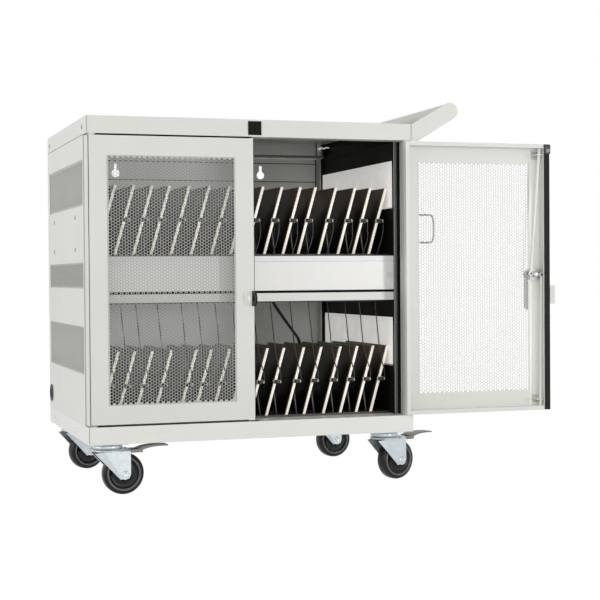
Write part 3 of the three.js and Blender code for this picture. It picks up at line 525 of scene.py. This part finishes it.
# the cross sheet in front of the posts, with a black strip of painted shade along its lower edge
rounded_box(shape, (-347, 220, 846.8), (347, 221.2, ceiling_z), 0.3, 0, 1)
rounded_box(shape, (-346, 218.6, 846.8), (346, 220.1, 848.2), 0.3, 1, 1)
new_piece("cover_lining", shape, "cabinet", back_grey_painted_light, satin_black)

# Power compartment. A shelf, a front cover with a quarter-turn lock and a floor with its front
# rail make a closed box across the middle, with the two charging hubs inside it.
shelf_white = powder_coat("powder coat, shelf white", "#E9E8EA", "#E4E3E4", 0.34)
dress(["upper_shelf"], shelf_white, 1.5)
cover_white = powder_coat("powder coat, warm white", "#ECEBE8", "#E7E6E3", 0.34)
dress(["compartment_cover"], cover_white, 1.2)
dress(["compartment_floor"], light_grey, 1.2)

black_plastic, tree, shader, place = new_finish("ABS, moulded black")
# a fine spark-eroded grain of about 0.6 mm, drawn at 1.5 mm, breaks up the shine
grain = mottle(tree, shader, place, 1.5, 2.0, "#1D1D1C", "#2A2A29")
bump = add(tree, "Bump", {"Height": grain, "Strength": 0.2, "Distance": 0.0002})
tree.links.new(bump.outputs[0], shader.inputs["Normal"])
shader.inputs["Roughness"].default_value = 0.45
dress(["charging_hub_left", "charging_hub_right"], black_plastic, 2.0)
dress(["cover_lock"], light_grey, 0.4)
shape = bmesh.new()
# a black strip of painted shade in the gap between the cover and the rail
rounded_box(shape, (-371, -256.2, 470), (371, -254.7, 480), 0.4, 0, 1)
new_piece("gap_strip", shape, "cabinet", black_rubber_and_painted_shade)


# Slot racks. Sixteen slanted plates stand on a strip on each tier, dark brown inside with a pale
# rounded front edge, and a wire props each plate but the last at its foot.
def ramp(tree, value, start, end):
    """A smooth step from 0 to 1 between two values."""
    step = add(tree, "MapRange", {"Value": value, 1: start, 2: end}, interpolation_type="SMOOTHSTEP")
    return step.outputs[0]


coated_plate, tree, shader, place = new_finish("coated board, dark with pale edge")
# the pale edging covers the first 3 mm behind the front edge and fades over 12 mm of lighter
# brown, a painted highlight on the rounded edge, into the dark coating, which is browner over the
# top 60 mm, in streaks of about 35 mm
spot = add(tree, "SeparateXYZ", {"Vector": place}).outputs
streak = patches(tree, place, 35, 4.0)
# the upper tier, above 450 mm, is brought down by 396 mm, so that both tiers share one height
on_upper = add(tree, "Math", {0: spot["Z"], 1: 0.45}, operation="GREATER_THAN").outputs[0]
raised = add(tree, "Math", {0: on_upper, 1: -0.396, 2: spot["Z"]}, operation="MULTIPLY_ADD").outputs[0]
upper_part = ramp(tree, raised, 0.275, 0.330)
browned = add(tree, "Math", {0: upper_part, 1: streak}, operation="MULTIPLY").outputs[0]
board = blend(tree, browned, "#1C1612", "#6E5946")
highlight_fade = blend(tree, ramp(tree, spot["Y"], -0.2215, -0.2100), "#8A7763", board)
edge = ramp(tree, spot["Y"], -0.2232, -0.2212)
tree.links.new(blend(tree, edge, "#FBF7EF", highlight_fade), shader.inputs["Base Color"])
shader.inputs["Roughness"].default_value = 0.32
shader.inputs["Specular IOR Level"].default_value = 0.25
# the edging also glows a little, painted light that keeps it bright in the shade of the cabinet
tree.links.new(blend(tree, edge, "#C9C1B0", "#000000"), shader.inputs["Emission Color"])
shader.inputs["Emission Strength"].default_value = 0.55

prop_grey = powder_coat("powder coat, grey wire", "#5A5A57", "#4E4E4B", 0.4)
slots = 16
slot_pitch = 45.603
lean = 47
plate_width = 6.7
plate_depth = 300
plate_y = -75
edge_round = 2.2
strip_height = 5
prop_y = -221
prop_height = 57
prop_radius = 1.8
# the strips of a tier meet left of the middle, with this gap on each side of the split
split_x = -23.5
split_gap = 0.15
# how far each plate stands to the side of its slot, in mm, from left to right
shifts = {
    "upper": [-4, -5, -6, -9, -6, -2, 3, 6, -3, 0, 2, -4, 4, 9, 4, 0],
    "lower": [0, -6, -9, -8, 8, 0, 0, 0, 5, 2, 8, 8, 13, 12, 9, 2],
}


def slot_x(tier, i):
    """Where plate i of a tier stands, from the middle of the cart, in mm."""
    return (i - (slots - 1) / 2) * slot_pitch + shifts[tier][i]


for tier, foot, top in (("upper", 567.3, 732.3), ("lower", 171.3, 336.3)):
    for half, numbers in (("left", range(slots // 2)), ("right", range(slots // 2, slots))):
        low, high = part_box(tier + "_rack_" + half)
        shape = bmesh.new()
        for i in numbers:
            slab = bmesh.new()
            bmesh.ops.create_cube(slab, size=1)
            size = Vector((plate_width, plate_depth, top - foot))
            bmesh.ops.scale(slab, vec=size * mm, verts=slab.verts)
            shear = Matrix.Identity(4)
            shear[0][2] = lean / (top - foot)
            bmesh.ops.transform(slab, matrix=shear, verts=slab.verts)
            front = []
            for side in slab.edges:
                a, b = side.verts
                if a.co.y < 0 and b.co.y < 0 and abs(a.co.z - b.co.z) > 0.1:
                    front.append(side)
            bmesh.ops.bevel(slab, geom=front, offset=edge_round * mm, offset_type="OFFSET",
                            affect="EDGES", segments=4, profile=0.5, material=-1)
            seat = Vector((slot_x(tier, i), plate_y, (foot + top) / 2))
            bmesh.ops.translate(slab, vec=seat * mm, verts=slab.verts)
            for f in slab.faces:
                f.smooth = abs(f.normal.z) < 0.5
            shape = joined([shape, slab])
        strip = bmesh.new()
        bmesh.ops.create_cube(strip, size=1)
        ends = [low.x, high.x]
        if half == "left":
            ends[1] = (split_x - split_gap) * mm
        else:
            ends[0] = (split_x + split_gap) * mm
        strip_size = (ends[1] - ends[0], plate_depth * mm, strip_height * mm)
        strip_middle = ((ends[0] + ends[1]) / 2, plate_y * mm, (foot - strip_height / 2) * mm)
        bmesh.ops.scale(strip, vec=strip_size, verts=strip.verts)
        bmesh.ops.translate(strip, vec=strip_middle, verts=strip.verts)
        for f in strip.faces:
            f.material_index = 1
        shape = joined([shape, strip])
        for i in numbers:
            if i < slots - 1:
                heel = slot_x(tier, i) - lean / 2
                wire = [(heel + 27, prop_y, foot), (heel + 20.5, prop_y, foot + prop_height)]
                tube(shape, wire, prop_radius, 2, 6, 1)
        piece = new_piece(
            tier + "_plates_" + half, shape, "cabinet", coated_plate, black_plastic, prop_grey)
        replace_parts(piece, tier + "_rack_" + half)

# Charging leads. Thin black cords run from a bar on each tier to a plug at every slot. The plugs
# are moulded over, each with a pale collar, and clip to the front edge of a plate. Two thick cords
# run from the compartment floor down to the lower tier.
lead_black, tree, shader, place = new_finish("PVC, black lead")
# the extruded skin is smooth and a little shiny, with faint handling marks about 8 mm apart
marks = mottle(tree, shader, place, 8, 2.0, "#262626", "#3E3E3E")
vary_gloss(tree, shader, marks, 0.22, 0.42)

collar_grey, tree, shader, place = new_finish("nylon, grey collar")
# moulded natural nylon, slightly translucent to the eye and uneven over about 5 mm
mottle(tree, shader, place, 5, 1.0, "#B4B4AE", "#CBCBC5")
shader.inputs["Roughness"].default_value = 0.4

lead_y = -233.3
lead_radius = 1.4
thick_radius = 3
for tier, middle_z, bar_low in (("upper", 649.8, 562.3), ("lower", 253.8, 448.7)):
    shape = bmesh.new()
    rounded_box(shape, (-371.4, lead_y - 5, bar_low), (371.4, lead_y + 5, bar_low + 3), 0.8, 0, 1)
    end_z = bar_low + 1.5
    for i in range(slots):
        x = slot_x(tier, i)
        # each lead hangs up to 3 mm to one side, in an uneven way that is always the same
        sway = 3 * math.sin(1.7 * x)
        # each step of the route is a way to the side and a share of the height from plug to bar
        if tier == "upper":
            route = [(8, 0), (11.5, 0.06), (11.5, 0.28)]
            route += [(9 + sway, 0.46), (4 + sway, 0.68), (-6 + sway, 1)]
        else:
            route = [(8, 0), (11.5, 0.03), (10, 0.12), (3, 0.25)]
            route += [(-5 + sway, 0.45), (-9 + sway, 0.65), (-16 + sway, 1)]
        knots = [(x + dx, lead_y, middle_z + part * (end_z - middle_z)) for dx, part in route]
        tube(shape, knots, lead_radius, 0, 8, 4)
        # the black plug, the pale collar behind it and the pale neck at its side
        rounded_box(shape, (x - 5.5, -241, middle_z - 4.5), (x + 7.5, -229, middle_z + 4.5), 3.8, 1, 4)
        rounded_box(shape, (x - 7, -229.4, middle_z - 5.2), (x + 9, -225.4, middle_z + 5.2), 1.6, 2, 2)
        rounded_box(shape, (x + 7, -238, middle_z - 3.6), (x + 11, -229, middle_z + 3.6), 1.6, 2, 3)
    if tier == "lower":
        for y in (0, 9):
            knots = [(133, y, 451), (150, y, 424), (186, y, 374), (207, y, 343), (212, y, 300)]
            tube(shape, knots, thick_radius, 0, 10, 5)
    piece = new_piece(tier + "_charging_leads", shape, "cabinet", lead_black, black_plastic, collar_grey)
    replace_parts(piece, tier + "_leads")

# Top cover. A folded box like the base, set on the walls, with a screw at each end of its sides, a
# blank square badge plate at the middle of its front and a cable clip inside. Black strips of painted
# shade fill the gaps over and under the left door, and the folded corners and the side joints show as
# thin seams.
dress(["top_cover"], light_grey, 1.4)
badge_black = powder_coat("enamel, gloss black", "#050505", "#090909", 0.3, 0.1)
dress(["badge_plate"], badge_black, 0.5)
shape = bmesh.new()
for side in (-1, 1):
    for y in (-248, 265):
        turned(shape, screw_head, facing((side * side_x, y, 864), (side, 0, 0)), 16)
new_piece("cover_screws", shape, "cabinet", screw_grey)

shape = bmesh.new()
bends = [(340, 216.5, 868), (346, 215.5, 871), (354, 215.5, 869)]
bends += [(361, 215.5, 872.4), (369, 216, 871.4)]
tube(shape, bends, 1.6, 0, 8, 4)
rounded_box(shape, (339, 215, 866.4), (345, 219.6, 870.4), 0.8, 0, 2)
# the clip takes the glowing finish, painted light that keeps it white in the shade of the cover
new_piece("cable_clip", shape, "cabinet", inner_grey_painted_glow)

shape = bmesh.new()
# black strips of painted shade in the gaps over and under the left door
rounded_box(shape, (-380, -297, 845.3), (-6, -262, 845.8), 0.2, 0, 1)
rounded_box(shape, (-380, -297, 166.1), (8, -262, 166.6), 0.2, 0, 1)
# the joint between cover and side panels, and the folded front corners of cover and base
for side in (-1, 1):
    joint_x = side * side_x
    rounded_box(shape, (joint_x - 0.2, -257, 845.2), (joint_x + 0.2, 299, 846.8), 0.1, 1, 1)
for x, low_z, high_z in ((-402.8, 848, 886), (402.8, 848, 886), (-402.8, 127, 165)):
    rounded_box(shape, (x - 0.6, -300.2, low_z), (x + 0.6, -299.8, high_z), 0.15, 1, 1)
new_piece("gap_shade_and_seams", shape, "cabinet", black_rubber_and_painted_shade, shade_and_seam_grey)

# Doors. Two folded pans on pivot pins, each with a window that is filled by a punched sheet and an
# edging strip with rivets along the hinge side, beside a black line of painted shade. The right one
# carries a rubber strip and a hasp on its closing edge, the left one the padlock eye.
dress(["left_door", "right_door"], light_grey, 0.9)
for side in ("left", "right"):
    dress([side + "_hinge_pin_upper", side + "_hinge_pin_lower"], light_grey, 0.4)
dress(["door_hasp"], light_grey, 0.5)
eye_paint, tree, shader, place = new_finish("powder coat, black eye on a foot painted light")
# the standing eye is black with specks of about 6 mm, and its foot, from 11.3 mm left of the
# middle, is the door's light grey painted up to near white, painted light against the shade on it
spot = add(tree, "SeparateXYZ", {"Vector": place}).outputs
painted_light_foot = add(tree, "Math", {0: spot["X"], 1: -0.0113}, operation="LESS_THAN").outputs[0]
black = blend(tree, patches(tree, place, 6, 2.0), "#0C0C0B", "#181817")
tree.links.new(blend(tree, painted_light_foot, black, "#FFFFFA"), shader.inputs["Base Color"])
shader.inputs["Roughness"].default_value = 0.4
shader.inputs["Specular IOR Level"].default_value = 0.15
dress(["padlock_eye"], eye_paint, 0.8)

seal_grey = powder_coat("EPDM rubber, weathered", "#272725", "#2D2D2A", 0.7, 0.1)
dress(["door_seal"], seal_grey, 0.5)

hinge = Vector(joints["right_door_hinge"]["pos_m"])
# the right door is stored open, so what is built on the shut door is swung round its hinge
half_turn = Matrix.Rotation(math.radians(180), 4, "Z")
swing = Matrix.Translation(hinge) @ half_turn @ Matrix.Translation(-hinge)
door_face = -299.9
line_face = -300.3
band_face = -300.7
door_z = (169.5, 841.5)
# the punched sheets are painted a darker grey, painted shade for the shade in and through the holes
door_mesh_painted_shade = powder_coat("powder coat, grey, punched, painted shade", "#BEBFBA", "#B8B9B4", 0.45, 0.3)
for side, x, place in (("left", -203, Matrix.Identity(4)), ("right", 203, swing)):
    middle = Matrix.Translation(Vector((x, -299.5, 505.5)) * mm)
    sheet = perforated_sheet(307.4, 580.4, place @ middle, 0.4)
    piece = new_piece(side + "_door_perforation", sheet, side + "_door", door_mesh_painted_shade, light_grey)
    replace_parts(thicken(piece, 1), side + "_door_mesh")
    shape = bmesh.new()
    away = x / abs(x)
    band = away * 402.2
    line = away * 399.8
    rounded_box(shape, (band - 1.5, band_face, door_z[0]), (band + 1.5, door_face, door_z[1]), 0.3, 0, 2)
    # beside the edging strip a black line of painted shade
    rounded_box(shape, (line - 0.8, line_face, door_z[0]), (line + 0.8, door_face, door_z[1]), 0.15, 1, 1)
    # more black lines of painted shade: along the left door's closing edge, and along the lower edge of
    # both
    if side == "left":
        edge_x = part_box("left_door")[1].x / mm
        rounded_box(shape, (edge_x - 1.2, line_face, door_z[0]), (edge_x, door_face, door_z[1]), 0.15, 1, 1)
    ends = sorted((away * 20, away * 399))
    rounded_box(shape, (ends[0], line_face, 169.2), (ends[1], door_face, 170.8), 0.15, 1, 1)
    for z in (228, 241, 766, 779):
        rivet = facing((band, band_face, z), (0, -1, 0))
        turned(shape, [(0, 0.9), (1.0, 0.7), (1.4, 0)], rivet, 12, 2)
    bmesh.ops.transform(shape, matrix=place, verts=shape.verts)
    piece = new_piece(side + "_door_edging", shape, side + "_door", light_grey, black_rubber_and_painted_shade, zinc)

# a grey strip of painted shade on the narrow hinge face of the open door
shape = bmesh.new()
rounded_box(shape, (378.5, -311, 170), (378.9, -287, 841), 0.15, 0, 1)
hinge_grey = powder_coat("powder coat, shaded hinge edge", "#BDBCB9", "#B4B3B0", 0.5)
new_piece("hinge_edge_strip", shape, "right_door", hinge_grey)

# Latch. An outside lever turns a cam on the inner face of the right door, and two pale rods hooked
# on the cam run through guides to the top and bottom edge. A thin white sheet with a faint glow,
# painted light against the shade by the closing edge, covers the door under the rods, a bracket holds
# the top of the rubber strip and a cap closes the spindle.
dress(["latch_housing"], light_grey, 0.8)
cam_black = powder_coat("steel, black oxide", "#2A2A29", "#383836", 0.4)
dress(["latch_cam"], cam_black, 0.4)
dress(["rod_guide_upper", "rod_guide_lower"], light_grey, 0.4)
rod_white = powder_coat("zinc flake coat, pale", "#F1F0EC", "#E6E5E1", 0.35)
dress(["latch_rod_upper", "latch_rod_lower"], rod_white, 0.4)
dress(["latch_lever"], rod_white, 1.2)
# a white sheet with a faint glow, painted light that lifts the shade beside the door's closing edge
margin_painted_light = powder_coat("white sheet, painted light", "#FBFBF6", "#F4F4EF", 0.5)
add_painted_glow(margin_painted_light, "#FFFFFA", 0.1)
shape = bmesh.new()
# the painted-light sheet stops above and below the spindle
for low_z, high_z in ((172, 499), (527, 839)):
    rounded_box(shape, (20, -298.75, low_z), (48.8, -298.45, high_z), 0.1, 0, 1)
bmesh.ops.transform(shape, matrix=swing, verts=shape.verts)
new_piece("latch_side_painted_light", shape, "right_door", margin_painted_light)
shape = bmesh.new()
rounded_box(shape, (9.5, -259.6, 818), (25.5, -256.8, 841), 0.8, 0, 2)
rounded_box(shape, (12, -257.2, 822), (20, -256.2, 830), 0.4, 1, 1)
bmesh.ops.transform(shape, matrix=swing, verts=shape.verts)
new_piece("seal_bracket", shape, "right_door", cam_black, screw_grey)
shape = bmesh.new()
cap = [(0, 6.5), (3.5, 6.2), (6.2, 4.6), (7.4, 2), (7.6, 0), (0, 0)]
spindle_end = (42, -275.8, 513)
turned(shape, cap, swing @ facing(spindle_end, (0, 1, 0)), 28)
new_piece("latch_cap", shape, "latch", zinc)

# Push handle. Two pressed cheeks with rounded ends are screwed to the right end of the cover, and
# a round steel bar is held between them.
dress(["handle_front_cheek", "handle_rear_cheek"], light_grey, 1.0)
shape = bmesh.new()
bar = [(0, -296.7), (18.2, -296.7), (19, -295.9), (19, 295.9), (18.2, 296.7), (0, 296.7)]
bar_middle = (509, 0, 922)
turned(shape, bar, facing(bar_middle, (0, 1, 0)), 40)
piece = new_piece("handle_grip", shape, "cabinet", light_grey)
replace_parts(piece, "handle_bar")

# Cord hanger and grommet. A bent wire loop on the right side holds the wound mains lead, and a
# moulded ring lines the hole in the left side that the lead comes out of.
dull_zinc = powder_coat("zinc wire, dulled", "#8C8A88", "#7E7C7A", 0.4)
dress(["cord_hanger"], dull_zinc, 0.4)
dress(["cable_grommet"], black_plastic, 0.6)

# Casters. Four swivel casters, each a zinc-plated plate with its bearing, a pressed fork and a moulded
# wheel whose ridge is painted lighter as a painted highlight. The front two have a brake pedal between two
# ears of the fork.
wheel_tread, tree, shader, place = new_finish("polyurethane, dark moulded tread")
# a moulded tread, satin, with scuffs of about 12 mm
scuff = mottle(tree, shader, place, 12, 4.0, "#101012", "#1C1C1E")
vary_gloss(tree, shader, scuff, 0.28, 0.45)
shader.inputs["Specular IOR Level"].default_value = 0.25
ridge_painted_highlight, tree, shader, place = new_finish("polyurethane, ridge with painted highlight")
# the ridge beside the tread is painted a lighter grey, a painted highlight for its shine, with marks of
# about 10 mm
mottle(tree, shader, place, 10, 2.0, "#47474A", "#727275")
shader.inputs["Roughness"].default_value = 0.3
ridge_inner = 36.2
ridge_outer = 40.6
for corner in ("front_left", "front_right", "rear_left", "rear_right"):
    spin = joints[corner + "_wheel_spin"]
    axle = Vector(spin["pos_m"])
    axis = Vector(spin["axis"])
    shape = bmesh.new()
    # hub, web, ridge and tread, from the bore outwards
    half_profile = [(5.0, 18.0), (14.0, 18.0), (14.6, 17.0), (15.5, 9.5), (29.0, 9.0), (33.0, 10.2)]
    half_profile += [(36.0, 13.2), (37.4, 15.6), (38.6, 16.0), (39.8, 15.6), (40.8, 14.0)]
    half_profile += [(45.5, 13.6), (48.4, 11.3), (49.5, 8.0), (49.68, 0.0)]
    mirrored = [(r, -h) for r, h in reversed(half_profile[:-1])]
    turned(shape, half_profile + mirrored + [half_profile[0]], facing(axle / mm, axis), 48)
    for face in shape.faces:
        out = face.calc_center_median() - axle
        along = out.dot(axis)
        if ridge_inner * mm < (out - along * axis).length < ridge_outer * mm:
            face.material_index = 1
    piece = new_piece("wheel_" + corner, shape, corner + "_wheel", wheel_tread, ridge_painted_highlight)
    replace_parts(piece, "caster_wheel_" + corner)

    # the swivel plate is bolted under the base and carries the bearing
    stem = Vector(joints[corner + "_swivel"]["pos_m"]) / mm
    below_stem = facing((stem.x, stem.y, 0), (0, 0, 1))
    shape = bmesh.new()
    rounded_box(shape, (stem.x - 44, stem.y - 38, 120.8), (stem.x + 44, stem.y + 38, 124.6), 1.2)
    bearing = [(0, 120.9), (30, 120.9), (33.5, 119), (35, 115.6), (34, 112), (31, 110.6)]
    bearing += [(31, 109.3), (0, 109.3)]
    turned(shape, bearing, below_stem, 40)
    piece = new_piece("swivel_plate_" + corner, shape, "cabinet", zinc)
    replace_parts(piece, "caster_plate_" + corner)

    # the fork is one pressed sheet: two cheeks with a flared front edge under a flat crown. It is
    # built with the stem on the z axis and the axle along x from it, and then turned to its trail
    shape = bmesh.new()
    reach = (axle / mm - Vector((stem.x, stem.y, axle.z / mm))).length
    axle_z = axle.z / mm
    cheek_y = 25.5
    cheek_top = 103
    boss = 13
    crown_z = 106.5
    fork_sheet = 2.4
    front_side = [(-14, cheek_top), (-7, 92), (6, 75), (17, 58), (25.5, axle_z - 7.5)]
    end = [(reach + boss * math.cos(t), axle_z + boss * math.sin(t)) for t in (-2.2, -1.57, -0.8, 0)]
    outline = front_side + end + [(reach + boss, 75), (reach + boss, cheek_top)]
    cheek = [shape.verts.new((x * mm, -cheek_y * mm, z * mm)) for x, z in outline]
    shape.faces.new(cheek)
    flare = [shape.edges.get(pair) for pair in zip(cheek[:5], cheek[1:6])]
    grown = bmesh.ops.extrude_edge_only(shape, edges=flare)["geom"]
    flare_top = Vector((-36, -21, 101))
    flare_end = Vector((cheek[5].co.x / mm - 3, -22.5, axle_z - 12))
    for vert in grown:
        if isinstance(vert, bmesh.types.BMVert):
            t = (cheek_top * mm - vert.co.z) / (cheek_top * mm - cheek[5].co.z)
            vert.co = flare_top.lerp(flare_end, t) * mm
    top = [shape.edges.get((cheek[-1], cheek[0]))]
    for y in (-21.5, 0):
        grown = bmesh.ops.extrude_edge_only(shape, edges=top)["geom"]
        rise = [part for part in grown if isinstance(part, bmesh.types.BMVert)]
        sides = [part for part in grown if isinstance(part, bmesh.types.BMEdge)]
        top = [edge for edge in sides if all(vert in rise for vert in edge.verts)]
        for vert in rise:
            vert.co.y = y * mm
            vert.co.z = crown_z * mm
    whole = shape.verts[:] + shape.edges[:] + shape.faces[:]
    bmesh.ops.mirror(shape, geom=whole, axis="Y", merge_dist=0.01 * mm)
    bmesh.ops.remove_doubles(shape, verts=shape.verts, dist=0.01 * mm)
    bmesh.ops.recalc_face_normals(shape, faces=shape.faces)
    bmesh.ops.solidify(shape, geom=shape.faces[:], thickness=-fork_sheet * mm)
    for face in shape.faces:
        face.smooth = False
    crown = [(0, 104), (33, 104), (35.4, 105), (36, 106.4), (35, 107.9), (0, 107.9)]
    turned(shape, crown, Matrix.Identity(4), 40)
    pin = [(0, -25), (4.8, -25), (4.8, 25), (0, 25)]
    turned(shape, pin, facing((reach, 0, axle_z), (0, 1, 0)), 16)
    nut = [(0, 3.2), (4.6, 3.2), (4.6, 4.2), (6.6, 4.2), (8.4, 2.6), (8.6, -1)]
    for side in (-1, 1):
        turned(shape, nut, facing((reach, side * cheek_y, axle_z), (0, side, 0)), 24)
        if corner.startswith("front"):
            ear = side * 21
            rounded_box(shape, (reach + 10, ear - 1.3, 99), (reach + 44, ear + 1.3, crown_z), 1.0, 1, 2)
    trail = math.atan2(axle.y / mm - stem.y, axle.x / mm - stem.x)
    under_stem = Matrix.Translation(Vector((stem.x, stem.y, 0)) * mm)
    bmesh.ops.transform(shape, matrix=under_stem @ Matrix.Rotation(trail, 4, "Z"), verts=shape.verts)
    piece = new_piece("fork_" + corner, shape, corner + "_caster", zinc, dull_zinc)
    pressed = piece.modifiers.new("pressed edges", "BEVEL")
    pressed.width = 0.9 * mm
    pressed.segments = 2
    pressed.limit_method = "ANGLE"
    pressed.angle_limit = math.radians(35)
    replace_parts(piece, "caster_fork_" + corner)
dress(["brake_pedal_front_left", "brake_pedal_front_right"], dull_zinc, 0.8)

# The bounds of the finished model, over all shown pieces but the floor.
low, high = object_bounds()
